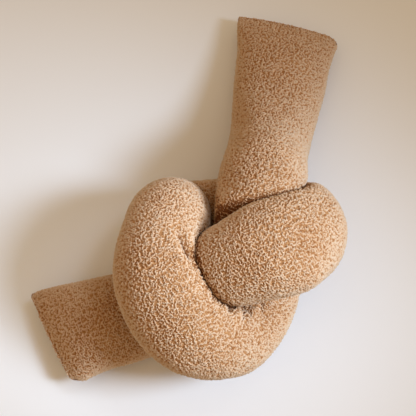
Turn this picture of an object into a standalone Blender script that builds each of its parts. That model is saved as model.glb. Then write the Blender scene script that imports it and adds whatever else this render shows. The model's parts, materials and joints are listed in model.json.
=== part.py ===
"""A knotted bolster cushion: one long stuffed tube of curly pile cloth, tied in an overhand knot.

The cloth keeps one girth along its whole length. The tube is closed by a flat seam at both ends,
lies on its back, and is pressed flat where it meets the floor and where it presses on itself.
"""

import math
from typing import NamedTuple

import bmesh
import bpy
import numpy as np

MM = 0.001

# Driving sizes, in millimetres.
GIRTH = 475.0  # round the tube, twice the width of the flat cloth sleeve
SEAM_THICKNESS = 9.0  # two layers of pile cloth, where an end is sewn flat
CLOSING_RUN = 130.0  # over this length a tail thins down to its seam
CORNER_RUN = 26.0  # how far the shape of a seam's corners reaches along the tube
SLANT_RUN = 90.0  # how far the slant of a seam reaches along the tube
CONTACT_GAP = 1.5  # left between two stretches that press on each other
MOST_PUSH = 0.45  # a wall moves over by at most about half this share of the way
SOFT_EDGE = 9.0  # a higher power makes a crisper edge round each pressed flat
SAME_STRETCH = 90.0  # nearer along the tube than this, cloth doesn't press on itself
TIGHT_BEND = 0.98  # the inside of a bend stays within this share of its radius
FLARE_POWER = 3  # a higher power keeps a seam's flare closer to its corners

RING_STEP = 15.0  # between sections along a straight stretch
BEND_STEP = 8.5  # and round a bend as tight as the tube is thick
RING_SIDES = 30  # corners round a section
SEAM_RINGS = 9  # sections that close up towards each seam
ROUTE_STEP = 2.5  # along the smooth route, for working out where it presses on itself
FINER = 4  # the route is first worked out this many times finer
GIRTH_PASSES = 8  # times a section is resized until its girth is right
MOST_RESIZE = 0.1  # share by which one pass may resize it
LEAST_FACING = 1e-6  # a ray that faces a wall less than this misses it


class Station(NamedTuple):
    """A place on the tube's middle line, in millimetres, and the shape of the tube there."""

    name: str
    x: float
    y: float
    z: float
    flatness: float  # thickness over width, before anything presses on it
    snug: float  # share of the girth that shows, the rest being gathered in the squeeze
    push: float  # how far over it moves the wall between it and a stretch it presses on


# From the seam of the upper tail, through the knot, to the seam of the lower tail.
ROUTE = (
    Station("upper seam", 182, 457, 38, 0.45, 1.00, 0),
    Station("upper tail", 153, 290, 52, 0.56, 1.00, 0),
    Station("upper tail rises", 125, 135, 100, 0.84, 0.98, 0),
    Station("over the back run", 105, 8, 156, 0.93, 0.97, 0),
    Station("under the front run", 100, -87, 136, 0.84, 0.87, 0),
    Station("comes down", 90, -160, 100, 0.88, 0.97, 0),
    Station("turns left", 69, -212, 92, 0.86, 0.97, 0),
    Station("foot of the loop", 35, -243, 106, 0.80, 0.97, 0),
    Station("lower side of the loop", 0, -251, 140, 0.76, 0.96, 0),
    Station("lower left of the loop", -38, -236, 166, 0.76, 0.97, 3),
    Station("over the lower tail", -62, -201, 182, 0.76, 0.97, 4),
    Station("side of the loop", -82, -154, 190, 0.88, 0.97, 0),
    Station("top of the loop", -82, -88, 180, 0.95, 0.97, 0),
    Station("folds over", -73, -45, 152, 0.95, 1.00, 0),
    Station("plunges", -64, -28, 104, 0.92, 1.00, 0),
    Station("turns under", -48, -24, 66, 0.90, 1.00, 0),
    Station("back run starts", -6, -14, 50, 0.84, 1.00, 0),
    Station("back run", 50, -6, 50, 0.78, 0.98, 0),
    Station("back run ends", 130, -2, 52, 0.78, 1.00, 0),
    Station("right bend rises", 163, -36, 108, 0.90, 1.00, 0),
    Station("right bend", 155, -78, 168, 0.84, 1.00, 0),
    Station("front run", 127, -112, 212, 0.72, 1.00, 0),
    Station("over the upper tail", 80, -134, 212, 0.84, 0.95, 0),
    Station("front run dives", 14, -154, 168, 0.92, 0.94, 0),
    Station("beside the loop", -30, -164, 116, 0.90, 0.98, 0),
    Station("under the loop", -74, -174, 68, 0.82, 0.98, 0),
    Station("leaves the loop", -118, -194, 50, 0.70, 0.98, 0),
    Station("lower tail", -213, -223, 48, 0.66, 0.98, 0),
    Station("lower seam", -311, -250, 38, 0.60, 1.00, 0),
)


class Seam(NamedTuple):
    """An end seam in millimetres. Its right corner is at the right hand of one walking the route."""

    name: str
    gather: float  # width of the seam, as a share of the flat sleeve's
    bow: float  # the middle stands out past the corners
    slant: float  # the right corner stands out this much, and the left stands in
    right_rounding: float
    left_rounding: float
    right_flare: float  # sideways, past the tail's edge
    left_flare: float


SEAMS = (
    Seam("upper seam", 0.92, 6, 10, 3, 20, 3, 0),
    Seam("lower seam", 0.79, 3, 20, 3, 18, 0, 1),
)


class Crease(NamedTuple):
    """A trough in the cloth along a line on its surface, deep at one end and fading to the other."""

    name: str
    place: float  # along the tube; stretches further off than SAME_STRETCH keep their shape
    deep_end: tuple[float, float, float]
    faint_end: tuple[float, float, float]
    depth: float
    width: float


CREASES = (
    Crease("fold beside the dive", 975, (-32, -146, 255), (-63, -88, 258), 15, 13),
)


def natural_spline(knots, values, at):
    """Value at each place in at of the smooth curve through values at knots."""
    gaps = np.diff(knots)
    slopes = np.diff(values) / gaps
    count = len(knots)
    matrix = np.eye(count)
    right = np.zeros(count)
    for i in range(1, count - 1):
        matrix[i, i - 1 : i + 2] = gaps[i - 1], 2 * (gaps[i - 1] + gaps[i]), gaps[i]
        right[i] = 6 * (slopes[i] - slopes[i - 1])
    bends = np.linalg.solve(matrix, right)
    i = np.clip(np.searchsorted(knots, at) - 1, 0, count - 2)
    past, left, gap = at - knots[i], knots[i + 1] - at, gaps[i]
    return (
        (bends[i] * left**3 + bends[i + 1] * past**3) / (6 * gap)
        + (values[i] / gap - bends[i] * gap / 6) * left
        + (values[i + 1] / gap - bends[i + 1] * gap / 6) * past
    )


def smooth_route():
    """Distance along the tube, middle line, flatness, snug and push, every ROUTE_STEP or so."""
    rows = np.array([station[1:] for station in ROUTE], float)
    chords = np.linalg.norm(np.diff(rows[:, :3], axis=0), axis=1)
    knots = np.concatenate([[0.0], np.cumsum(chords)])
    fine = np.linspace(0.0, knots[-1], int(knots[-1] / ROUTE_STEP) * FINER)
    curve = np.stack([natural_spline(knots, column, fine) for column in rows.T], axis=1)
    steps = np.linalg.norm(np.diff(curve[:, :3], axis=0), axis=1)
    along = np.concatenate([[0.0], np.cumsum(steps)])
    even = np.linspace(0.0, along[-1], int(along[-1] / ROUTE_STEP) + 1)
    even_curve = np.stack([np.interp(even, along, column) for column in curve.T], axis=1)
    return even, even_curve[:, :3], even_curve[:, 3], even_curve[:, 4], even_curve[:, 5]


def unit(vectors):
    """The vectors, each at length 1."""
    return vectors / np.linalg.norm(vectors, axis=-1, keepdims=True)


def ring_places(route_places, route_line):
    """Distances along the tube of its sections, closer together round bends and at the seams."""
    length = route_places[-1]
    directions = unit(np.gradient(route_line, route_places, axis=0))
    bend = np.linalg.norm(np.gradient(directions, route_places, axis=0), axis=1)
    tightness = np.minimum(bend * GIRTH / (2 * math.pi), 1.0)
    density = 1 / RING_STEP + (1 / BEND_STEP - 1 / RING_STEP) * tightness
    counted = np.concatenate([[0.0], np.cumsum((density[1:] + density[:-1]) / 2 * ROUTE_STEP)])
    share = np.arange(SEAM_RINGS) / SEAM_RINGS
    nose = RING_STEP * SEAM_RINGS / 2
    near = nose * share**2
    first, last = np.interp((nose, length - nose), route_places, counted)
    even = np.linspace(first, last, round(last - first) + 1)
    middle = np.interp(even, counted, route_places)
    return np.concatenate([near, middle, (length - near)[::-1]])


def carried_sides(tangents):
    """Side direction of each section, carried along the tube without spin and level at both seams."""
    sides = np.zeros_like(tangents)
    sides[0] = unit(np.cross(tangents[0], (0.0, 0.0, 1.0)))
    for i in range(1, len(tangents)):
        carried = sides[i - 1] - tangents[i] * (sides[i - 1] @ tangents[i])
        sides[i] = unit(carried)
    ups = np.cross(sides, tangents)
    level = unit(np.cross(tangents[-1], (0.0, 0.0, 1.0)))
    spin = math.atan2(level @ ups[-1], level @ sides[-1])
    if abs(spin) > math.pi / 2:
        spin -= math.copysign(math.pi, spin)
    turn = np.linspace(0.0, spin, len(tangents))[:, None]
    return sides * np.cos(turn) + ups * np.sin(turn)


def closing(distance):
    """How far a section is opened up, from 0 at a seam to 1 past the closing run."""
    share = np.clip(distance / CLOSING_RUN, 0.0, 1.0)
    return 1.0 - (1.0 - share) ** 2


def press_limits(centres, rays, places, tangents, route):
    """How far each ray may run before it meets another stretch, the floor or its own bend."""
    route_places, route_line, _, _, route_push = route
    push = np.interp(places, route_places, route_push)
    limits = np.empty(rays.shape[:2])
    for i, centre in enumerate(centres):
        far = np.abs(route_places - places[i]) > SAME_STRETCH
        away = centre - route_line[far]
        apart = (away**2).sum(axis=1)
        shift = 2 * GIRTH / math.pi * (push[i] - route_push[far])
        shift = np.clip(shift, -MOST_PUSH * apart, MOST_PUSH * apart)
        reach = apart + shift - CONTACT_GAP**2
        facing = CONTACT_GAP - rays[i] @ away.T
        halfway = reach / (2 * np.maximum(facing, LEAST_FACING))
        limits[i] = halfway.min(axis=1)
        close = np.abs(places - places[i]) <= SAME_STRETCH
        side = np.sign(places[close] - places[i])
        room = ((centres[close] - centre) * tangents[close]).sum(axis=1) * side
        toward = rays[i] @ tangents[close].T * side
        ahead = room / np.maximum(toward, LEAST_FACING)
        before_next = np.where(toward > LEAST_FACING, ahead, np.inf)
        limits[i] = np.minimum(limits[i], TIGHT_BEND * before_next.min(axis=1))
    return limits


def tube_rings():
    """Corners of every section, in millimetres, as an array of rings by corners by 3."""
    route = smooth_route()
    route_places, route_line, route_flatness, route_snug, _ = route
    length = route_places[-1]
    places = ring_places(route_places, route_line)
    centres, directions = (
        np.stack([np.interp(places, route_places, column) for column in line.T], axis=1)
        for line in (route_line, np.gradient(route_line, route_places, axis=0))
    )
    tangents = unit(directions)
    sides = carried_sides(tangents)

    from_seam = np.minimum(places, length - places)
    opened = closing(from_seam)
    flatness = np.interp(places, route_places, route_flatness) * opened
    flatness = np.maximum(flatness, 2 * SEAM_THICKNESS / GIRTH)
    girth = GIRTH * np.interp(places, route_places, route_snug)
    for seam, end in zip(SEAMS, (0, -1)):
        gathered = np.clip(1 - np.abs(places - places[end]) / CLOSING_RUN, 0, 1) ** 2
        girth *= 1 - (1 - seam.gather) * gathered

    levels = unit(np.cross(tangents, (0.0, 0.0, 1.0)))
    lifts = np.cross(levels, tangents)
    steepness = tangents[:, 2] ** 4
    flatness = flatness + (1 - flatness) * steepness
    start = np.arctan2((sides * lifts).sum(axis=1), (sides * levels).sum(axis=1))
    angles = 2 * math.pi * np.arange(RING_SIDES) / RING_SIDES
    turned = start[:, None] + angles[None, :]
    across = np.cos(turned)[..., None] * levels[:, None, :]
    upward = (np.sin(turned) * flatness[:, None])[..., None] * lifts[:, None, :]
    shape = across + upward
    stretch = np.linalg.norm(shape, axis=2)
    rays = shape / stretch[..., None]
    limits = press_limits(centres, rays, places, tangents, route)
    with np.errstate(divide="ignore"):
        floor = np.where(rays[..., 2] < 0, -centres[:, None, 2] / rays[..., 2], np.inf)

    size = girth / (2 * math.pi)
    for _ in range(GIRTH_PASSES):
        free = stretch * size[:, None]
        radii = free * (1 + (free / limits) ** SOFT_EDGE) ** (-1 / SOFT_EDGE)
        radii = np.minimum(radii, floor)
        corners = centres[:, None, :] + rays * radii[..., None]
        measured = np.linalg.norm(corners - np.roll(corners, 1, axis=1), axis=2).sum(axis=1)
        size = size * np.clip(girth / measured, 1 - MOST_RESIZE, 1 + MOST_RESIZE)
    for crease in CREASES:
        line = np.subtract(crease.faint_end, crease.deep_end)
        offset = corners - crease.deep_end
        share = np.clip(offset @ line / (line @ line), 0.0, 1.0)
        distance = np.linalg.norm(offset - share[..., None] * line, axis=2)
        depth = crease.depth * (1 - share) * np.exp(-((distance / crease.width) ** 2))
        depth = depth * (np.abs(places - crease.place) < SAME_STRETCH)[:, None]
        corners = corners - rays * depth[..., None]

    return shaped_seams(corners, np.cos(angles), places, tangents, sides)


def shaped_seams(corners, reach, places, tangents, sides):
    """The sections near each end moved so that the seam bows, slants and turns its corners."""
    for seam, end, outward in zip(SEAMS, (0, -1), (-1, 1)):
        run = np.abs(places - places[end])
        near, wide = (np.exp(-((run / span) ** 2))[:, None] for span in (CORNER_RUN, SLANT_RUN))
        facing = np.cross(tangents[end], (0.0, 0.0, 1.0)) @ sides[end]
        rightward = reach * math.copysign(1, facing)
        half_width = GIRTH * seam.gather / 4
        from_edge = half_width * (1 - np.abs(rightward))
        rounding = np.where(rightward > 0, seam.right_rounding, seam.left_rounding)
        left = np.maximum(rounding - from_edge, 0.0)
        cut = rounding - np.sqrt(np.maximum(rounding**2 - left**2, 0.0))
        slide = seam.slant * rightward * wide - (cut + seam.bow * rightward**2) * near
        flare = np.where(rightward > 0, seam.right_flare, seam.left_flare)
        spread = flare * reach * np.abs(reach) ** FLARE_POWER * wide
        corners = corners + slide[..., None] * outward * tangents[:, None, :]
        corners = corners + spread[..., None] * sides[:, None, :]
    corners[..., 2] = np.maximum(corners[..., 2], 0.0)
    return corners


def cushion_mesh(name, corners):
    """One closed mesh through the sections, with each end sewn flat."""
    mesh = bmesh.new()
    rings = [[mesh.verts.new(point * MM) for point in ring] for ring in corners]
    sides = len(rings[0])
    for ring, following in zip(rings, rings[1:]):
        for i in range(sides):
            j = (i + 1) % sides
            mesh.faces.new((ring[i], ring[j], following[j], following[i]))
    for ring in (rings[0], rings[-1]):
        for i in range(sides // 2):
            quad = (ring[i], ring[i + 1], ring[sides - i - 1], ring[-i])
            corners_once = list(dict.fromkeys(quad))
            mesh.faces.new(corners_once)
    bmesh.ops.recalc_face_normals(mesh, faces=mesh.faces)
    data = bpy.data.meshes.new(name)
    mesh.to_mesh(data)
    mesh.free()
    data.shade_smooth()
    return data


def pile_cloth():
    """Camel coloured curly pile cloth."""
    material = bpy.data.materials.new("pile_cloth")
    material.use_nodes = True
    shader = material.node_tree.nodes["Principled BSDF"]
    shader.inputs["Base Color"].default_value = (0.53, 0.30, 0.15, 1.0)
    shader.inputs["Roughness"].default_value = 0.95
    shader.inputs["Metallic"].default_value = 0.0
    return material


def main():
    """Clears the scene and builds the cushion in its own collection."""
    for old in list(bpy.data.objects):
        bpy.data.objects.remove(old)
    collection = bpy.data.collections.new("knot_cushion_parts")
    bpy.context.scene.collection.children.link(collection)
    corners = tube_rings()
    low, high = corners.min(axis=(0, 1)), corners.max(axis=(0, 1))
    middle = (low + high) / 2
    corners -= (middle[0], middle[1], 0.0)
    cushion = bpy.data.objects.new("knot_cushion", cushion_mesh("knot_cushion", corners))
    cushion.data.materials.append(pile_cloth())
    collection.objects.link(cushion)


main()
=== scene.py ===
"""A knotted bolster cushion of curly teddy cloth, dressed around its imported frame.

The stuffed tube is lofted from the same stations as the solid, with finer sections, its folds and
puckers and the lumps of its filling. The curls of its pile then stand on the cloth as geometry. Sizes
and places are in millimetres, and MM turns them to metres where Blender takes them.
"""

import json
import logging
import math
from collections.abc import Iterator
from dataclasses import dataclass, field
from enum import Enum
from typing import NamedTuple

import bpy
import numpy as np
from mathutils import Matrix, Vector, noise
from mathutils.bvhtree import BVHTree

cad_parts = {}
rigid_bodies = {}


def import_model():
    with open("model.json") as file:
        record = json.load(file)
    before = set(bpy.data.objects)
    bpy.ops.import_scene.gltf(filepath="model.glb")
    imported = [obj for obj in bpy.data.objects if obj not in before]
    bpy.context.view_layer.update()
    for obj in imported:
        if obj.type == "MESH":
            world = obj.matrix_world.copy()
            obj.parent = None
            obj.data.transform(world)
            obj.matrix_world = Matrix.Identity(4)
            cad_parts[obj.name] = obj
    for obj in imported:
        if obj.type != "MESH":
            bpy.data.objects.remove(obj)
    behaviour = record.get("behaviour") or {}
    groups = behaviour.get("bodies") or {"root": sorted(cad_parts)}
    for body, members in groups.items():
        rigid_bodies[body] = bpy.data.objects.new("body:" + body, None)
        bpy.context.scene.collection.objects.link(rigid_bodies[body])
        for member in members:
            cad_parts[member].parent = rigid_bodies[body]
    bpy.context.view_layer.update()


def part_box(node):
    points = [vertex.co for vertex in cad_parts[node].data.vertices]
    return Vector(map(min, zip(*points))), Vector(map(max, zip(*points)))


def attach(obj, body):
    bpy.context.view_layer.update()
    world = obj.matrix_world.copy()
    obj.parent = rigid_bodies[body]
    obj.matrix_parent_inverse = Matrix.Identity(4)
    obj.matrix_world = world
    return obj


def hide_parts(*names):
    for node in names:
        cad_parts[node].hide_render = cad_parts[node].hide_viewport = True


MM = 0.001
LOG = logging.getLogger("cushion")
CAD_NODE = "knot_cushion"
BODY = "root"
MAP_NAME = "OFBake"  # the name of the flat map laid out on each mesh


class Station(NamedTuple):
    """A place on the tube's middle line, in millimetres, and the shape of the tube there."""

    name: str
    x: float
    y: float
    z: float
    flatness: float  # thickness over width, before anything presses on it
    snug: float  # share of the girth that shows, the rest being gathered in the squeeze
    push: float  # how far over it moves the wall between it and a stretch it presses on


# From the seam of the upper tail, through the knot, to the seam of the lower tail.
ROUTE = (
    Station("upper seam", 182, 457, 38, 0.45, 1.00, 0),
    Station("upper tail", 153, 290, 52, 0.56, 1.00, 0),
    Station("upper tail rises", 125, 135, 100, 0.84, 0.98, 0),
    Station("over the back run", 105, 8, 156, 0.93, 0.97, 0),
    Station("under the front run", 100, -87, 136, 0.84, 0.87, 0),
    Station("comes down", 90, -160, 100, 0.88, 0.97, 0),
    Station("turns left", 69, -212, 92, 0.86, 0.97, 0),
    Station("foot of the loop", 35, -243, 106, 0.80, 0.97, 0),
    Station("lower side of the loop", 0, -251, 140, 0.76, 0.96, 0),
    Station("lower left of the loop", -38, -236, 166, 0.76, 0.97, 3),
    Station("over the lower tail", -62, -201, 182, 0.76, 0.97, 4),
    Station("side of the loop", -82, -154, 190, 0.88, 0.97, 0),
    Station("top of the loop", -82, -88, 180, 0.95, 0.97, 0),
    Station("folds over", -73, -45, 152, 0.95, 1.00, 0),
    Station("plunges", -64, -28, 104, 0.92, 1.00, 0),
    Station("turns under", -48, -24, 66, 0.90, 1.00, 0),
    Station("back run starts", -6, -14, 50, 0.84, 1.00, 0),
    Station("back run", 50, -6, 50, 0.78, 0.98, 0),
    Station("back run ends", 130, -2, 52, 0.78, 1.00, 0),
    Station("right bend rises", 163, -36, 108, 0.90, 1.00, 0),
    Station("right bend", 155, -78, 168, 0.84, 1.00, 0),
    Station("front run", 127, -112, 212, 0.72, 1.00, 0),
    Station("over the upper tail", 80, -134, 212, 0.84, 0.95, 0),
    Station("front run dives", 14, -154, 168, 0.92, 0.94, 0),
    Station("beside the loop", -30, -164, 116, 0.90, 0.98, 0),
    Station("under the loop", -74, -174, 68, 0.82, 0.98, 0),
    Station("leaves the loop", -118, -194, 50, 0.70, 0.98, 0),
    Station("lower tail", -213, -223, 48, 0.66, 0.98, 0),
    Station("lower seam", -311, -250, 38, 0.60, 1.00, 0),
)


class Seam(NamedTuple):
    """An end seam in millimetres. Its right corner is at the right hand of one walking the route."""

    name: str
    gather: float  # width of the seam, as a share of the flat sleeve's
    bow: float  # the middle stands out past the corners
    slant: float  # the right corner stands out this much, and the left stands in
    right_rounding: float
    left_rounding: float
    right_flare: float  # sideways, past the tail's edge
    left_flare: float


SEAMS = (
    Seam("upper seam", 0.92, 6, 10, 3, 20, 3, 0),
    Seam("lower seam", 0.79, 3, 20, 3, 18, 0, 1),
)


class Fold(NamedTuple):
    """A trough along a line on the cloth, or a ridge where its depth is below zero, in millimetres."""

    name: str
    place: float  # along the tube; stretches further off keep their shape
    deep_end: tuple[float, float, float]
    faint_end: tuple[float, float, float]
    depth: float
    width: float
    pinch: float = 0.0  # share by which the cloth beside it is drawn in over it


FOLDS = (
    Fold("fold beside the dive", 975, (-32, -146, 255), (-63, -88, 258), 10, 13),
    Fold("crisp bottom of that fold", 975, (-34, -146, 256), (-62, -90, 259), 15, 5, 0.7),
    Fold("rim beside that fold", 975, (-46, -151, 263), (-72, -95, 264), -5, 10),
    Fold("flap beside that fold", 975, (-27, -134, 251), (-42, -84, 254), -9, 9),
    Fold("first scallop of the rim", 936, (-28, -167, 255), (-42, -171, 262), 4, 6),
    Fold("second scallop of the rim", 916, (-23, -186, 251), (-37, -197, 256), 4, 6),
    Fold("third scallop of the rim", 896, (-11, -204, 242), (-19, -216, 245), 4, 6),
    Fold("fourth scallop of the rim", 868, (9, -216, 224), (1, -232, 232), 4, 6),
    Fold("first pucker of the foot", 824, (40, -225, 196), (25, -262, 213), 10, 6, 0.7),
    Fold("second pucker of the foot", 793, (66, -225, 173), (61, -262, 186), 10, 6, 0.7),
    Fold("third pucker of the foot", 711, (100, -212, 160), (98, -240, 156), 6, 5, 0.6),
    Fold("crest left of the puckers", 835, (27, -230, 206), (14, -262, 219), -4, 7),
    Fold("crest between the puckers", 807, (53, -230, 186), (44, -262, 202), -6, 7),
    Fold("crest right of the puckers", 760, (84, -224, 164), (80, -252, 170), -5, 8),
)


class PileLayer(Enum):
    """The two layers of teddy cloth that the eye tells apart. The value is part of its name."""

    GROUND = "ground"
    CURLS = "curls"


def linear(colour: str) -> tuple[float, float, float, float]:
    """Turns an sRGB hex colour to linear light.

    Args:
        colour: six hex digits, as in c89a6b.

    Returns:
        Red, green and blue from 0 to 1, and an alpha of 1.
    """
    parts = [int(colour[i : i + 2], 16) / 255 for i in (0, 2, 4)]
    light = [p / 12.92 if p <= 0.04045 else ((p + 0.055) / 1.055) ** 2.4 for p in parts]
    return (light[0], light[1], light[2], 1.0)


def add_node(
    tree: bpy.types.NodeTree,
    kind: str,
    values: dict[str, object] | None = None,
    links: dict[str, bpy.types.NodeSocket] | None = None,
    **settings: object,
) -> bpy.types.Node:
    """Adds a node with its settings and links.

    Args:
        tree: The material's node tree.
        kind: The node's type.
        values: Constants, by the identifier of their input socket.
        links: Output sockets of other nodes, by the identifier of the input that each feeds.
        **settings: The node's own properties.

    Returns:
        The new node.
    """
    node = tree.nodes.new(kind)
    for name, value in settings.items():
        setattr(node, name, value)
    sockets = {socket.identifier: socket for socket in node.inputs}
    for name, value in (values or {}).items():
        sockets[name].default_value = value
    for name, output in (links or {}).items():
        tree.links.new(output, sockets[name])
    return node


def unit(vectors: np.ndarray) -> np.ndarray:
    """Returns the vectors, each at length 1."""
    return vectors / np.linalg.norm(vectors, axis=-1, keepdims=True)


def natural_spline(knots: np.ndarray, values: np.ndarray, at: np.ndarray) -> np.ndarray:
    """Runs a smooth curve through values.

    Args:
        knots: Places of the values, rising.
        values: One value at each knot.
        at: Places to read the curve at.

    Returns:
        The curve's value at each place.
    """
    gaps = np.diff(knots)
    slopes = np.diff(values) / gaps
    count = len(knots)
    matrix = np.eye(count)
    right = np.zeros(count)
    for i in range(1, count - 1):
        matrix[i, i - 1 : i + 2] = gaps[i - 1], 2 * (gaps[i - 1] + gaps[i]), gaps[i]
        right[i] = 6 * (slopes[i] - slopes[i - 1])
    bends = np.linalg.solve(matrix, right)
    i = np.clip(np.searchsorted(knots, at) - 1, 0, count - 2)
    past, left, gap = at - knots[i], knots[i + 1] - at, gaps[i]
    return (
        (bends[i] * left**3 + bends[i + 1] * past**3) / (6 * gap)
        + (values[i] / gap - bends[i] * gap / 6) * left
        + (values[i + 1] / gap - bends[i + 1] * gap / 6) * past
    )


@dataclass
class StuffedTube:
    """The knotted sleeve as rings of points, the way its cloth lies over the filling."""

    girth: float = 475.0
    seam_thickness: float = 9.0  # of the two layers of cloth where they are sewn together
    closing_run: float = 130.0  # over which the tube flattens towards a seam
    corner_run: float = 26.0  # over which a seam's bow and corners fade
    slant_run: float = 90.0  # over which its slant and flare fade
    contact_gap: float = 0.5  # between two stretches that touch
    most_push: float = 0.45  # share of the way that a wall between them may move
    soft_edge: float = 9.0  # higher makes the edge of a pressed place sharper
    same_stretch: float = 90.0  # places nearer than this along the tube don't press on each other
    tight_bend: float = 0.98  # share of the way to the next section that the cloth may take
    upright_power: float = 4.0  # higher keeps a rising stretch flat for longer
    flare_power: float = 3.0
    ring_step: float = 5.2
    bend_step: float = 3.6
    sides: int = 120
    seam_rings: int = 24
    nose: float = 67.5  # length of the run of close rings at each seam
    route_step: float = 2.5
    finer: int = 4  # steps of the spline for each step of the route
    girth_passes: int = 8
    most_resize: float = 0.1
    least_facing: float = 1e-6
    pinch_width: float = 8.0
    painted_contact_shade_power: float = 24.0  # higher keeps the painted shade of the creases closer to the line of contact
    lump_height: float = 1.6
    lump_size: float = 55.0
    places: np.ndarray = field(init=False, repr=False)  # of the sections, along the tube
    centres: np.ndarray = field(init=False, repr=False)
    points: np.ndarray = field(init=False, repr=False)  # by section and side, as the rest are
    normals: np.ndarray = field(init=False, repr=False)
    creased: np.ndarray = field(init=False, repr=False)  # depth of the folds
    painted_contact_shade: np.ndarray = field(init=False, repr=False)  # painted shade of the creases: 1 where another stretch touches
    shift: np.ndarray = field(init=False, repr=False)  # from the stations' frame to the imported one

    def lay_route(self) -> None:
        """Works out the middle line, and the shape along it, every route_step or so."""
        rows = np.array([station[1:] for station in ROUTE], float)
        chords = np.linalg.norm(np.diff(rows[:, :3], axis=0), axis=1)
        knots = np.concatenate([[0.0], np.cumsum(chords)])
        fine = np.linspace(0.0, knots[-1], int(knots[-1] / self.route_step) * self.finer)
        curve = np.stack([natural_spline(knots, column, fine) for column in rows.T], axis=1)
        steps = np.linalg.norm(np.diff(curve[:, :3], axis=0), axis=1)
        along = np.concatenate([[0.0], np.cumsum(steps)])
        self.route_places = np.linspace(0.0, along[-1], int(along[-1] / self.route_step) + 1)
        even = [np.interp(self.route_places, along, column) for column in curve.T]
        self.route_line = np.stack(even[:3], axis=1)
        self.route_flatness, self.route_snug, self.route_push = even[3:]

    def ring_places(self) -> np.ndarray:
        """Spaces the sections, closer together round bends and at the seams.

        Returns:
            The distance along the tube of each section.
        """
        length = self.route_places[-1]
        directions = unit(np.gradient(self.route_line, self.route_places, axis=0))
        bend = np.linalg.norm(np.gradient(directions, self.route_places, axis=0), axis=1)
        tightness = np.minimum(bend * self.girth / (2 * math.pi), 1.0)
        density = 1 / self.ring_step + (1 / self.bend_step - 1 / self.ring_step) * tightness
        mean = (density[1:] + density[:-1]) / 2
        counted = np.concatenate([[0.0], np.cumsum(mean * self.route_step)])
        near = self.nose * (np.arange(self.seam_rings) / self.seam_rings) ** 2
        first, last = np.interp((self.nose, length - self.nose), self.route_places, counted)
        even = np.linspace(first, last, round(last - first) + 1)
        middle = np.interp(even, counted, self.route_places)
        return np.concatenate([near, middle, (length - near)[::-1]])

    def carried_sides(self, tangents: np.ndarray) -> np.ndarray:
        """Carries a side direction along the tube without spin, level at both seams.

        Args:
            tangents: Direction of the tube at each ring.

        Returns:
            The side direction at each ring.
        """
        sides = np.zeros_like(tangents)
        sides[0] = unit(np.cross(tangents[0], (0.0, 0.0, 1.0)))
        for i in range(1, len(tangents)):
            sides[i] = unit(sides[i - 1] - tangents[i] * (sides[i - 1] @ tangents[i]))
        ups = np.cross(sides, tangents)
        level = unit(np.cross(tangents[-1], (0.0, 0.0, 1.0)))
        spin = math.atan2(level @ ups[-1], level @ sides[-1])
        if abs(spin) > math.pi / 2:
            spin -= math.copysign(math.pi, spin)
        turn = np.linspace(0.0, spin, len(tangents))[:, None]
        return sides * np.cos(turn) + ups * np.sin(turn)

    def press_limits(self, rays: np.ndarray) -> np.ndarray:
        """Finds how far each ray may run before it meets another stretch or its own bend.

        Args:
            rays: Unit directions, rings by sides by 3.

        Returns:
            The longest radius along each ray.
        """
        push = np.interp(self.places, self.route_places, self.route_push)
        limits = np.empty(rays.shape[:2])
        self.room = np.empty(rays.shape[:2])
        for i, centre in enumerate(self.centres):
            far = np.abs(self.route_places - self.places[i]) > self.same_stretch
            away = centre - self.route_line[far]
            apart = (away**2).sum(axis=1)
            shift = 2 * self.girth / math.pi * (push[i] - self.route_push[far])
            shift = np.clip(shift, -self.most_push * apart, self.most_push * apart)
            reach = apart + shift - self.contact_gap**2
            facing = self.contact_gap - rays[i] @ away.T
            halfway = reach / (2 * np.maximum(facing, self.least_facing))
            close = np.abs(self.places - self.places[i]) <= self.same_stretch
            side = np.sign(self.places[close] - self.places[i])
            room = ((self.centres[close] - centre) * self.tangents[close]).sum(axis=1) * side
            toward = rays[i] @ self.tangents[close].T * side
            ahead = room / np.maximum(toward, self.least_facing)
            before_next = np.where(toward > self.least_facing, ahead, np.inf).min(axis=1)
            self.room[i] = halfway.min(axis=1)
            limits[i] = np.minimum(self.room[i], self.tight_bend * before_next)
        return limits

    def lay_sections(self) -> tuple[np.ndarray, np.ndarray]:
        """Sets the sections across the middle line.

        Returns:
            The flatness of each section and the girth of its cloth.
        """
        length = self.route_places[-1]
        self.places = self.ring_places()
        slopes = np.gradient(self.route_line, self.route_places, axis=0)
        self.centres, directions = (
            np.stack([np.interp(self.places, self.route_places, c) for c in line.T], axis=1)
            for line in (self.route_line, slopes)
        )
        self.tangents = unit(directions)
        self.level_sides = self.carried_sides(self.tangents)
        from_seam = np.minimum(self.places, length - self.places)
        opened = 1.0 - (1.0 - np.clip(from_seam / self.closing_run, 0.0, 1.0)) ** 2
        flatness = np.interp(self.places, self.route_places, self.route_flatness) * opened
        flatness = np.maximum(flatness, 2 * self.seam_thickness / self.girth)
        flatness = flatness + (1 - flatness) * np.abs(self.tangents[:, 2]) ** self.upright_power
        girth = self.girth * np.interp(self.places, self.route_places, self.route_snug)
        for seam, end in zip(SEAMS, (0, -1)):
            run = np.abs(self.places - self.places[end]) / self.closing_run
            girth *= 1 - (1 - seam.gather) * np.clip(1 - run, 0, 1) ** 2
        return flatness, girth

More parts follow.
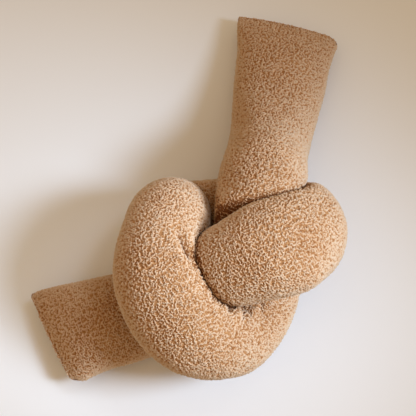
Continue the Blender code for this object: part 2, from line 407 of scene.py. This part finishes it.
    def swell(self, flatness: np.ndarray, girth: np.ndarray) -> None:
        """Fills every section until the cloth round it has its girth.

        Args:
            flatness: Thickness over width of each section, before anything presses on it.
            girth: Girth of the cloth at each section.
        """
        levels = unit(np.cross(self.tangents, (0.0, 0.0, 1.0)))
        lifts = np.cross(levels, self.tangents)
        rise = (self.level_sides * lifts).sum(axis=1)
        start = np.arctan2(rise, (self.level_sides * levels).sum(axis=1))
        self.angles = 2 * math.pi * np.arange(self.sides) / self.sides
        turned = start[:, None] + self.angles[None, :]
        across = np.cos(turned)[..., None] * levels[:, None, :]
        upward = (np.sin(turned) * flatness[:, None])[..., None] * lifts[:, None, :]
        stretch = np.linalg.norm(across + upward, axis=2)
        self.rays = (across + upward) / stretch[..., None]
        limits = self.press_limits(self.rays)
        with np.errstate(divide="ignore"):
            down = -self.centres[:, None, 2] / self.rays[..., 2]
        floor = np.where(self.rays[..., 2] < 0, down, np.inf)
        size = girth / (2 * math.pi)
        for _ in range(self.girth_passes):
            free = stretch * size[:, None]
            radii = free * (1 + (free / limits) ** self.soft_edge) ** (-1 / self.soft_edge)
            radii = np.minimum(radii, floor)
            self.points = self.centres[:, None, :] + self.rays * radii[..., None]
            edges = self.points - np.roll(self.points, 1, axis=1)
            measured = np.linalg.norm(edges, axis=2).sum(axis=1)
            size *= np.clip(girth / measured, 1 - self.most_resize, 1 + self.most_resize)
        # Painted shade: the cloth's colour is darkened towards the lines where two stretches touch
        self.painted_contact_shade = np.minimum(free / self.room, 1.0) ** self.painted_contact_shade_power

    def crease(self) -> None:
        """Presses the folds and puckers into the cloth."""
        self.creased = np.zeros(self.points.shape[:2])
        drawn_in = np.zeros_like(self.points)
        for fold in FOLDS:
            line = np.subtract(fold.faint_end, fold.deep_end)
            offset = self.points - fold.deep_end
            share = np.clip(offset @ line / (line @ line), 0.0, 1.0)
            toward = share[..., None] * line - offset
            distance = np.linalg.norm(toward, axis=2)
            strength = (1 - share) * (np.abs(self.places - fold.place) < self.same_stretch)[:, None]
            self.creased += fold.depth * strength * np.exp(-((distance / fold.width) ** 2))
            toward = toward - (toward * self.rays).sum(axis=2, keepdims=True) * self.rays
            pinch = fold.pinch * strength * np.exp(-((distance / self.pinch_width) ** 2))
            drawn_in += toward * pinch[..., None]
        self.points = self.points + drawn_in - self.rays * self.creased[..., None]

    def unevenness(self) -> None:
        """Lets the loose filling lie in soft lumps, as it does in a hand-filled tube."""
        flat = self.points.reshape(-1, 3) / self.lump_size
        height = np.array([noise.noise(Vector(point)) for point in flat])
        lumps = self.rays * height.reshape(self.points.shape[:2])[..., None] * self.lump_height
        self.points = self.points + lumps

    def sew_ends(self) -> None:
        """Bows, slants and rounds the seams at both ends."""
        reach = np.cos(self.angles)
        for seam, end, outward in zip(SEAMS, (0, -1), (-1, 1)):
            run = np.abs(self.places - self.places[end])
            near, wide = (
                np.exp(-((run / span) ** 2))[:, None] for span in (self.corner_run, self.slant_run)
            )
            right = np.cross(self.tangents[end], (0.0, 0.0, 1.0)) @ self.level_sides[end]
            rightward = reach * math.copysign(1, right)
            half_width = self.girth * seam.gather / 4
            from_edge = half_width * (1 - np.abs(rightward))
            rounding = np.where(rightward > 0, seam.right_rounding, seam.left_rounding)
            left = np.maximum(rounding - from_edge, 0.0)
            cut = rounding - np.sqrt(np.maximum(rounding**2 - left**2, 0.0))
            slide = seam.slant * rightward * wide - (cut + seam.bow * rightward**2) * near
            flare = np.where(rightward > 0, seam.right_flare, seam.left_flare)
            spread = flare * reach * np.abs(reach) ** self.flare_power * wide
            self.points = self.points + slide[..., None] * outward * self.tangents[:, None, :]
            self.points = self.points + spread[..., None] * self.level_sides[:, None, :]
        self.points[..., 2] = np.maximum(self.points[..., 2], 0.0)

    def build(self, middle: Vector) -> None:
        """Forms the tube with the middle of its box over a point.

        Args:
            middle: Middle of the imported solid's box, in metres.
        """
        self.lay_route()
        flatness, girth = self.lay_sections()
        self.swell(flatness, girth)
        self.crease()
        self.unevenness()
        self.sew_ends()
        own = (self.points.min(axis=(0, 1)) + self.points.max(axis=(0, 1))) / 2
        self.shift = np.array((middle.x / MM - own[0], middle.y / MM - own[1], 0.0))
        self.points = self.points + self.shift
        self.centres = self.centres + self.shift
        self.face_out()

    def face_out(self) -> None:
        """Works out the direction in which the cloth faces at every point."""
        along = np.gradient(self.points, axis=0)
        around = np.roll(self.points, -1, axis=1) - np.roll(self.points, 1, axis=1)
        facing = np.cross(around, along)
        outward = self.points - self.centres[:, None, :]
        hand = math.copysign(1, (facing * outward).sum())
        length = np.linalg.norm(facing, axis=2, keepdims=True)
        clear = length > self.least_facing
        self.normals = np.where(clear, hand * facing / np.where(clear, length, 1.0), self.rays)

    def quads(self) -> np.ndarray:
        """Lists the faces between the rings.

        Returns:
            The corner numbers of each face, as rows of 4.
        """
        rings, sides = self.points.shape[:2]
        ring, side = np.meshgrid(np.arange(rings - 1), np.arange(sides), indexing="ij")
        following = (side + 1) % sides
        corners = (
            ring * sides + side,
            ring * sides + following,
            (ring + 1) * sides + following,
            (ring + 1) * sides + side,
        )
        return np.stack(corners, axis=-1).reshape(-1, 4)

    def at(self, grid: np.ndarray, rings: np.ndarray, sides: np.ndarray) -> np.ndarray:
        """Reads a grid of the tube's values between its points.

        Args:
            grid: Values by ring and side.
            rings: Ring numbers, with fractions.
            sides: Side numbers, with fractions.

        Returns:
            One value for each pair of numbers.
        """
        low = np.minimum(rings.astype(int), len(grid) - 2)
        past = (rings - low)[:, None]
        near = np.floor(sides).astype(int) % self.sides
        over = (sides - np.floor(sides))[:, None]
        far = (near + 1) % self.sides
        here = grid[low, near] * (1 - over) + grid[low, far] * over
        there = grid[low + 1, near] * (1 - over) + grid[low + 1, far] * over
        return here * (1 - past) + there * past


def mesh_of_quads(name: str, points: np.ndarray, quads: np.ndarray) -> bpy.types.Mesh:
    """Makes a smooth mesh.

    Args:
        name: The mesh's name.
        points: Corners in millimetres, as rows of 3.
        quads: Corner numbers, as rows of 4.

    Returns:
        The mesh, in metres.
    """
    mesh = bpy.data.meshes.new(name)
    mesh.vertices.add(len(points))
    mesh.vertices.foreach_set("co", (points * MM).astype(np.float32).ravel())
    mesh.loops.add(quads.size)
    mesh.loops.foreach_set("vertex_index", quads.astype(np.int32).ravel())
    mesh.polygons.add(len(quads))
    mesh.polygons.foreach_set("loop_start", np.arange(0, quads.size, 4, dtype=np.int32))
    mesh.update(calc_edges=True)
    mesh.shade_smooth()
    return mesh


def add_map(mesh: bpy.types.Mesh, corners: np.ndarray) -> None:
    """Lays the cloth's own length and girth out flat as the mesh's map.

    Args:
        mesh: The mesh to lay out.
        corners: A place for each corner of each face, in the order of the loops.
    """
    low, high = corners.min(axis=0), corners.max(axis=0)
    layer = mesh.uv_layers.new(name=MAP_NAME)
    layer.data.foreach_set("uv", ((corners - low) / (high - low)).astype(np.float32).ravel())


def add_marks(mesh: bpy.types.Mesh, marks: dict[str, np.ndarray]) -> None:
    """Stores values on a mesh, for its material to read.

    Args:
        mesh: The mesh to mark.
        marks: The name of each value, with one number for each of the mesh's points.
    """
    for name, values in marks.items():
        layer = mesh.attributes.new(name, "FLOAT", "POINT")
        layer.data.foreach_set("value", values.astype(np.float32))


@dataclass
class CurlCoat:
    """The pile: C-shaped curls of yarn that stand on the cloth, as real geometry.

    A curl is about 8 mm across, and its yarn is drawn as one ridge under 4 mm wide, where the real
    one is a tuft of finer fibres. The ridge has no underside, because that is in the cloth.
    """

    tube: StuffedTube
    spacing: float = 4.65
    arc_radius: float = 2.4
    arc_turn: float = 3.8  # radians
    half_width: float = 1.8
    end_taper: float = 0.6  # width at the ends, as a share of the middle's
    lift: float = 3.3  # of the ridge over the cloth
    end_sink: float = 0.3
    foot_sink: float = 0.6
    spread: float = 0.25  # share by which the curls differ from each other
    jitter: float = 0.15  # share of the spacing by which they are out of line
    take_off: float = 0.2  # over the cloth, where the look for other cloth starts
    clearance: float = 0.9  # needed over the cloth by a curl
    floor_gap: float = 0.3
    most_creased: float = 11.0  # in a fold deeper than this no curls show
    nearly_level: float = 0.9  # cloth that faces up more than this takes +X for its side direction
    steps: int = 6
    across: tuple[int, ...] = (-1, 0, 1)  # lines of the ridge: one foot, the crown, the other foot
    seed: int = 11
    points: np.ndarray = field(init=False, repr=False)  # by curl, step and line of the ridge
    tip: np.ndarray = field(init=False, repr=False)  # 0 at the foot of the pile, 1 at its top; the foot is darkened as painted shade
    tone: np.ndarray = field(init=False, repr=False)  # how light the curl happens to be
    # painted shade of the creases, read off the tube at each curl
    painted_contact_shade: np.ndarray = field(init=False, repr=False)
    along: np.ndarray = field(init=False, repr=False)  # where it stands, for the map
    around: np.ndarray = field(init=False, repr=False)
    run: np.ndarray = field(init=False, repr=False)
    width: np.ndarray = field(init=False, repr=False)

    def spread_out(self, rng: np.random.Generator) -> tuple[np.ndarray, np.ndarray]:
        """Spreads the curls evenly over the cloth.

        Args:
            rng: Source of the small irregularities.

        Returns:
            A ring number and a side number for each curl, with fractions.
        """
        rings, sides = self.tube.points.shape[:2]
        strips = round(self.tube.girth / self.spacing)
        ring_numbers, side_numbers = [], []
        for strip in range(strips):
            column = (strip + 0.5) * sides / strips
            line = self.tube.at(self.tube.points, np.arange(rings), np.full(rings, column))
            steps = np.linalg.norm(np.diff(line, axis=0), axis=1)
            along = np.concatenate([[0.0], np.cumsum(steps)])
            count = round(along[-1] / self.spacing)
            shaken = rng.uniform(0.5 - self.jitter, 0.5 + self.jitter, (2, count))
            wanted = (np.arange(count) + shaken[0]) * along[-1] / count
            ring_numbers.append(np.interp(wanted, along, np.arange(rings)))
            side_numbers.append((strip + shaken[1]) * sides / strips)
        return np.concatenate(ring_numbers), np.concatenate(side_numbers)

    def in_the_open(self, places: np.ndarray, normals: np.ndarray) -> np.ndarray:
        """Tells which curls have room, because no cloth or floor presses on them.

        Args:
            places: Foot of each curl.
            normals: Direction in which the cloth faces there.

        Returns:
            True for each curl that shows.
        """
        points = self.tube.points.reshape(-1, 3)
        tree = BVHTree.FromPolygons(points.tolist(), self.tube.quads().tolist())
        starts = places + normals * self.take_off
        hits = [
            tree.ray_cast(Vector(start), Vector(normal), self.clearance)[0]
            for start, normal in zip(starts, normals)
        ]
        free = np.array([hit is None for hit in hits])
        return free & (places[:, 2] > self.half_width)

    def strands(self, places: np.ndarray, normals: np.ndarray, rng: np.random.Generator) -> None:
        """Bends one strand of yarn into a curl at every place.

        Args:
            places: Foot of each curl.
            normals: Direction in which the cloth faces there.
            rng: Source of the small irregularities.
        """
        count = len(places)
        upright = np.abs(normals[:, 2:]) < self.nearly_level
        level = np.where(upright, (0.0, 0.0, 1.0), (1.0, 0.0, 0.0))
        first = unit(np.cross(level, normals))
        second = np.cross(normals, first)
        share = np.linspace(-0.5, 0.5, self.steps)
        varied = rng.uniform(1 - self.spread, 1 + self.spread, (4, count))
        turn = rng.uniform(0, 2 * math.pi, count)[:, None] + share * self.arc_turn * varied[:1].T
        radius = self.arc_radius * varied[1][:, None]
        arch = np.sqrt(np.cos(math.pi * share))
        crown = self.lift * varied[2][:, None] * arch - self.end_sink
        width = self.half_width * (self.end_taper + (1 - self.end_taper) * arch)
        width = width * varied[3][:, None]
        outward = (
            np.cos(turn)[..., None] * first[:, None] + np.sin(turn)[..., None] * second[:, None]
        )
        across = np.array(self.across)
        away = radius[..., None] + width[..., None] * across
        rise = np.where(across == 0, crown[..., None], -self.foot_sink)
        self.points = (
            places[:, None, None]
            + outward[:, :, None] * away[..., None]
            + normals[:, None, None] * rise[..., None]
        )
        self.points[..., 2] = np.maximum(self.points[..., 2], self.floor_gap)
        # Painted shade: the colour darkens from the crown of each curl down to its feet
        self.tip = np.clip(rise / self.lift, 0.0, 1.0)
        self.tone = rng.uniform(0.0, 1.0, count)
        self.run = share * self.arc_turn * radius
        self.width = width

    def faces_of_one(self) -> tuple[np.ndarray, np.ndarray, np.ndarray]:
        """Lists the faces of one curl.

        Returns:
            Corner numbers of each face, and for each corner its step along the ridge and which of
            its lines it is on, for the map.
        """
        quads, steps, lines = [], [], []
        count = len(self.across)
        for step in range(self.steps - 1):
            for line in range(count - 1):
                near, far = step * count + line, (step + 1) * count + line
                quads.append((near, near + 1, far + 1, far))
                steps.append((step, step, step + 1, step + 1))
                lines.append((line, line + 1, line + 1, line))
        return np.array(quads), np.array(steps), np.array(lines)

    def grow(self) -> None:
        """Makes all the curls, in the order in which they stand along the tube."""
        rng = np.random.default_rng(self.seed)
        rings, sides = self.spread_out(rng)
        places = self.tube.at(self.tube.points, rings, sides)
        normals = unit(self.tube.at(self.tube.normals, rings, sides))
        creased = self.tube.at(self.tube.creased[..., None], rings, sides)[:, 0]
        shown = self.in_the_open(places, normals) & (creased < self.most_creased)
        order = np.flatnonzero(shown)[np.argsort(rings[shown], kind="stable")]
        self.painted_contact_shade = self.tube.at(self.tube.painted_contact_shade[..., None], rings, sides)[order, 0]
        self.along = np.interp(rings[order], np.arange(len(self.tube.places)), self.tube.places)
        self.around = sides[order] * self.tube.girth / self.tube.sides
        self.strands(places[order], normals[order], rng)

    def meshes(self, names: tuple[str, ...]) -> Iterator[bpy.types.Mesh]:
        """Joins the curls into one mesh for each stretch of the tube.

        Args:
            names: A name for each stretch, in order.

        Yields:
            The mesh of each stretch.
        """
        quads, steps, lines = self.faces_of_one()
        size = self.steps * len(self.across)
        for name, chosen in zip(names, np.array_split(np.arange(len(self.tone)), len(names))):
            firsts = np.arange(len(chosen))[:, None, None] * size
            faces = (quads + firsts).reshape(-1, 4)
            mesh = mesh_of_quads(name, self.points[chosen].reshape(-1, 3), faces)
            width = self.width[chosen][:, steps]
            along = self.along[chosen][:, None, None] + self.run[chosen][:, steps]
            around = self.around[chosen][:, None, None] + lines * width
            add_map(mesh, np.stack([along, around], axis=-1).reshape(-1, 2))
            # tip and the contact mark darken the feet of the curls and the creases as painted shade
            marks = {
                "tip": self.tip[chosen].ravel(),
                "tone": np.repeat(self.tone[chosen], size),
                "painted_contact_shade": np.repeat(self.painted_contact_shade[chosen], size),
            }
            add_marks(mesh, marks)
            yield mesh


@dataclass(frozen=True)
class Shading:
    """How a layer of the cloth takes its colour. Sizes are in millimetres."""

    grain: float  # size of its smallest spots
    spots: float  # share of those spots in how light the layer is
    patches: float  # share of the wide patches
    marks: tuple[tuple[str, float], ...]  # values that the mesh holds, and their shares
    start: float  # added to the sum of those shares
    stops: tuple[tuple[float, str], ...]  # colours from dark to light, with their places in the sum
    sheen: float
    relief: float  # height of the bumps in the surface


@dataclass(frozen=True)
class TeddyCloth:
    """Teddy fleece: knitted polyester, tumbled until its pile curls up.

    The tumbling gives the eye a matt grain of curl tips over gaps, and a soft pale rim where the cloth
    turns away. The gaps and the feet of the curls are darkened by their real shadow and by painted
    shade, and so is the pile where two stretches press together.
    """

    # A tuft of the pile is about 6 mm wide. The sheen is that of fine loose fibres.
    curls: Shading = Shading(
        grain=6.0,
        spots=0.20,
        patches=0.30,
        # tip darkens the feet of the curls and the contact mark darkens the creases, both painted
        # shade
        marks=(("tip", 0.80), ("tone", 0.16), ("painted_contact_shade", -0.45)),
        start=-0.24,
        # The darkest stop is the painted shade of the creases.
        stops=((0.0, "6b3b1a"), (0.1, "b68758"), (0.36, "c8a077"), (0.8, "d8bf9e")),
        sheen=0.25,
        relief=0.0,
    )
    # The fibres between the curls are far finer than 3 mm. They are drawn as coarse as they show,
    #     # and darker than the curls as painted shade of the gaps.
    ground: Shading = Shading(
        grain=3.0,
        spots=0.90,
        patches=0.20,
        # the contact mark darkens the creases as painted shade
        marks=(("painted_contact_shade", -0.26),),
        start=0.0,
        # The darkest stop is the painted shade of the creases.
        stops=((0.1, "6b3b1a"), (0.42, "8f5c31"), (0.66, "b98a59")),
        sheen=0.0,
        relief=3.0,
    )
    patch: float = 70.0  # size of the patches that the hand leaves when it strokes the pile
    detail: float = 2.0  # octaves of the spots and patches
    detail_share: float = 0.5
    roughness: float = 0.92
    specular: float = 0.15
    sheen_roughness: float = 0.5
    sheen_tint: str = "ffe3c4"

    def colour_of(
        self,
        tree: bpy.types.NodeTree,
        shading: Shading,
        spots: bpy.types.NodeSocket,
        patches: bpy.types.NodeSocket,
    ) -> bpy.types.NodeSocket:
        """Adds up how light each place of a layer is, and turns it to a colour.

        Args:
            tree: The material's node tree.
            shading: How the layer takes its colour.
            spots: The small spots.
            patches: The wide patches.

        Returns:
            The colour, as an output socket.
        """
        parts = [(spots, shading.spots), (patches, shading.patches)]
        for name, share in shading.marks:
            mark = add_node(tree, "ShaderNodeAttribute", attribute_name=name)
            parts.append((mark.outputs["Fac"], share))
        total = None
        for value, share in parts:
            values = {"Value_001": share}
            links = {"Value": value}
            if total is None:
                values["Value_002"] = shading.start
            else:
                links["Value_002"] = total
            node = add_node(tree, "ShaderNodeMath", values, links, operation="MULTIPLY_ADD")
            total = node.outputs[0]
        ramp = add_node(tree, "ShaderNodeValToRGB", links={"Fac": total})
        elements = ramp.color_ramp.elements
        for place, _ in shading.stops[1:-1]:
            elements.new(place)
        for element, (place, colour) in zip(elements, shading.stops):
            element.position = place
            element.color = linear(colour)
        return ramp.outputs["Color"]

    def material(self, layer: PileLayer) -> bpy.types.Material:
        """Makes the finish of one layer.

        Args:
            layer: The layer of the cloth.

        Returns:
            The material.
        """
        shading = self.curls if layer is PileLayer.CURLS else self.ground
        material = bpy.data.materials.new(f"teddy_fleece_{layer.value}")
        material.use_nodes = True
        tree = material.node_tree
        shader = tree.nodes["Principled BSDF"]
        shader.inputs["Roughness"].default_value = self.roughness
        shader.inputs["Specular IOR Level"].default_value = self.specular
        shader.inputs["Sheen Weight"].default_value = shading.sheen
        shader.inputs["Sheen Roughness"].default_value = self.sheen_roughness
        shader.inputs["Sheen Tint"].default_value = linear(self.sheen_tint)
        where = add_node(tree, "ShaderNodeTexCoord").outputs["Object"]
        spots, patches = (
            add_node(
                tree,
                "ShaderNodeTexNoise",
                {"Scale": 1 / (size * MM), "Detail": self.detail, "Roughness": self.detail_share},
                {"Vector": where},
            ).outputs[0]
            for size in (shading.grain, self.patch)
        )
        colour = self.colour_of(tree, shading, spots, patches)
        tree.links.new(colour, shader.inputs["Base Color"])
        if shading.relief:
            depth = {"Strength": 1.0, "Distance": shading.relief * MM}
            bump = add_node(tree, "ShaderNodeBump", depth, {"Height": spots})
            tree.links.new(bump.outputs[0], shader.inputs["Normal"])
        return material


@dataclass
class Cushion:
    """The cushion: its stuffed cloth and the pile on it."""

    tube: StuffedTube
    coat: CurlCoat
    cloth: TeddyCloth
    stretches: tuple[str, ...] = (
        "pile_upper_tail",
        "pile_foot",
        "pile_loop",
        "pile_front_run",
        "pile_lower_tail",
    )
    fill: float = 0.9
    map_rows: int = 2  # the long tube is laid out as this many rows

    def stuffed_cloth(self) -> bpy.types.Object:
        """Makes the cloth tube itself.

        Returns:
            The tube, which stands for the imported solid.
        """
        rings, sides = self.tube.points.shape[:2]
        quads = self.tube.quads()
        ends = [
            (start + i, start + i + 1, start + sides - i - 1, start + (sides - i) % sides)
            for start in (0, (rings - 1) * sides)
            for i in range(1, sides // 2 - 1)
        ]
        mesh = mesh_of_quads(
            "stuffed_cloth", self.tube.points.reshape(-1, 3), np.concatenate([quads, ends])
        )
        along, around = np.divmod(np.arange(len(quads)), sides)
        row_length = math.ceil(rings / self.map_rows)
        row, place = np.divmod(along, row_length)
        corners = np.stack(
            [
                place[:, None] / row_length + np.array((0, 0, 1, 1)) / row_length,
                row[:, None] + (around[:, None] + np.array((0, 1, 1, 0))) / sides,
            ],
            axis=-1,
        )
        caps = np.zeros((len(ends), 4, 2)) + np.array(((0, 0), (0, 1), (1, 1), (1, 0))) / sides
        add_map(mesh, np.concatenate([corners, caps]).reshape(-1, 2))
        # painted shade of the creases on the cloth under the curls
        add_marks(mesh, {"painted_contact_shade": self.tube.painted_contact_shade.ravel()})
        return bpy.data.objects.new("stuffed_cloth", mesh)

    def build(self) -> None:
        """Builds and dresses the cloth and its pile, and ties them to the frame."""
        cloth = self.stuffed_cloth()
        cloth.data.materials.append(self.cloth.material(PileLayer.GROUND))
        bpy.context.scene.collection.objects.link(cloth)
        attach(cloth, BODY)
        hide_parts(CAD_NODE)
        LOG.info("%s: %d faces", cloth.name, len(cloth.data.polygons))
        self.coat.grow()
        curls = self.cloth.material(PileLayer.CURLS)
        for mesh in self.coat.meshes(self.stretches):
            pile = bpy.data.objects.new(mesh.name, mesh)
            mesh.materials.append(curls)
            bpy.context.scene.collection.objects.link(pile)
            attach(pile, BODY)
            LOG.info("%s: %d faces", pile.name, len(mesh.polygons))


class Light(NamedTuple):
    """A soft square light over the cushion, with a grid that keeps it on its place."""

    name: str
    azimuth_deg: float  # from +X, over +Y
    elevation_deg: float
    distance: float  # from the place it is aimed at, in millimetres
    side: float  # of the square, in millimetres
    watts: float
    colour: str
    spread_deg: float  # full angle in which it shines
    aim: tuple[float, float, float]  # in the frame of the stations, in millimetres


@dataclass(frozen=True)
class MattPaint:
    """Matt emulsion, rolled on: an even pale surface without gloss, so that only shadows show."""

    colour: str = "eaeae4"
    roughness: float = 0.8

    def material(self) -> bpy.types.Material:
        """Makes the paint.

        Returns:
            The material.
        """
        material = bpy.data.materials.new("matt_emulsion_paint")
        material.use_nodes = True
        shader = material.node_tree.nodes["Principled BSDF"]
        shader.inputs["Base Color"].default_value = linear(self.colour)
        shader.inputs["Roughness"].default_value = self.roughness
        return material


@dataclass
class Studio:
    """The pale floor, the soft lights and the camera."""

    tube: StuffedTube
    paint: MattPaint
    floor_side: float = 60000.0
    air_colour: str = "ffe1c0"
    air_strength: float = 0.585
    camera_azimuth_deg: float = -90.0
    camera_elevation_deg: float = 70.0
    camera_distance: float = 1750.0
    aim: tuple[float, float, float] = (0.0, 0.0, 100.0)  # place in the middle of the picture
    picture_px: float = 416.0
    focal_px: float = 875.0
    sensor: float = 36.0
    # A cool window on the right, a weak cool light on the top of the loop, and the warm room.
    lights: tuple[Light, ...] = (
        Light("key_window", -8.0, 38.0, 2200.0, 650.0, 4.7, "cde1ff", 41.0, (-100.0, -190.0, 230.0)),
        Light("loop_glow", 30.0, 60.0, 900.0, 250.0, 0.092, "cfe2ff", 30.0, (-100.0, -105.0, 250.0)),
        Light("room_bounce", 190.0, 65.0, 2600.0, 2200.0, 1.6, "ffc98a", 180.0, (0.0, 0.0, 100.0)),
    )

    def lay_floor(self) -> None:
        """Lays a plain pale floor."""
        half = self.floor_side / 2
        square = np.array(((-half, -half, 0), (half, -half, 0), (half, half, 0), (-half, half, 0)))
        mesh = mesh_of_quads("floor", square, np.array(((0, 1, 2, 3),)))
        floor = bpy.data.objects.new("floor", mesh)
        floor.data.materials.append(self.paint.material())
        bpy.context.scene.collection.objects.link(floor)
        LOG.info("floor: %.1f m square", self.floor_side * MM)

    def place(
        self,
        thing: bpy.types.Object,
        aim: tuple[float, float, float],
        azimuth: float,
        elevation: float,
        away: float,
    ) -> None:
        """Puts a light or camera round a place on the cushion and turns it there.

        Args:
            thing: The object to place.
            aim: The place, in millimetres in the frame of the stations.
            azimuth: Angle from +X, over +Y, in degrees.
            elevation: Angle over the horizon, in degrees.
            away: Distance in millimetres.
        """
        turn, rise = math.radians(azimuth), math.radians(elevation)
        level = math.cos(rise)
        back = Vector((level * math.cos(turn), level * math.sin(turn), math.sin(rise)))
        thing.location = Vector((np.array(aim) + self.tube.shift) * MM) + back * away * MM
        thing.rotation_euler = (-back).to_track_quat("-Z", "Y").to_euler()
        bpy.context.scene.collection.objects.link(thing)
        LOG.info("%s: %.2f m away", thing.name, away * MM)

    def hang_lights(self) -> None:
        """Hangs the lights and fills the air with even light."""
        for light in self.lights:
            data = bpy.data.lights.new(light.name, "AREA")
            data.size = light.side * MM
            data.energy = light.watts
            data.color = linear(light.colour)[:3]
            data.spread = math.radians(light.spread_deg)
            lamp = bpy.data.objects.new(light.name, data)
            self.place(lamp, light.aim, light.azimuth_deg, light.elevation_deg, light.distance)
        world = bpy.data.worlds.new("studio_air")
        world.use_nodes = True
        background = world.node_tree.nodes["Background"]
        background.inputs["Color"].default_value = linear(self.air_colour)
        background.inputs["Strength"].default_value = self.air_strength
        bpy.context.scene.world = world

    def set_camera(self) -> None:
        """Sets the camera at the photograph's angle to the cushion."""
        data = bpy.data.cameras.new("camera")
        data.sensor_width = self.sensor
        data.lens = self.sensor * self.focal_px / self.picture_px
        camera = bpy.data.objects.new("camera", data)
        angles = self.camera_azimuth_deg, self.camera_elevation_deg
        self.place(camera, self.aim, *angles, self.camera_distance)
        bpy.context.scene.camera = camera


def main() -> None:
    """Loads the frame and builds the cushion and the studio round it."""
    logging.basicConfig(level=logging.INFO, format="%(name)s: %(message)s")
    for old in list(bpy.data.objects):
        bpy.data.objects.remove(old)
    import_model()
    bpy.context.scene.view_settings.view_transform = "Standard"
    low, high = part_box(CAD_NODE)
    tube = StuffedTube()
    tube.build((low + high) / 2)
    studio = Studio(tube, MattPaint())
    studio.set_camera()
    Cushion(tube, CurlCoat(tube), TeddyCloth()).build()
    studio.lay_floor()
    studio.hang_lights()


if __name__ == "__main__":
    main()
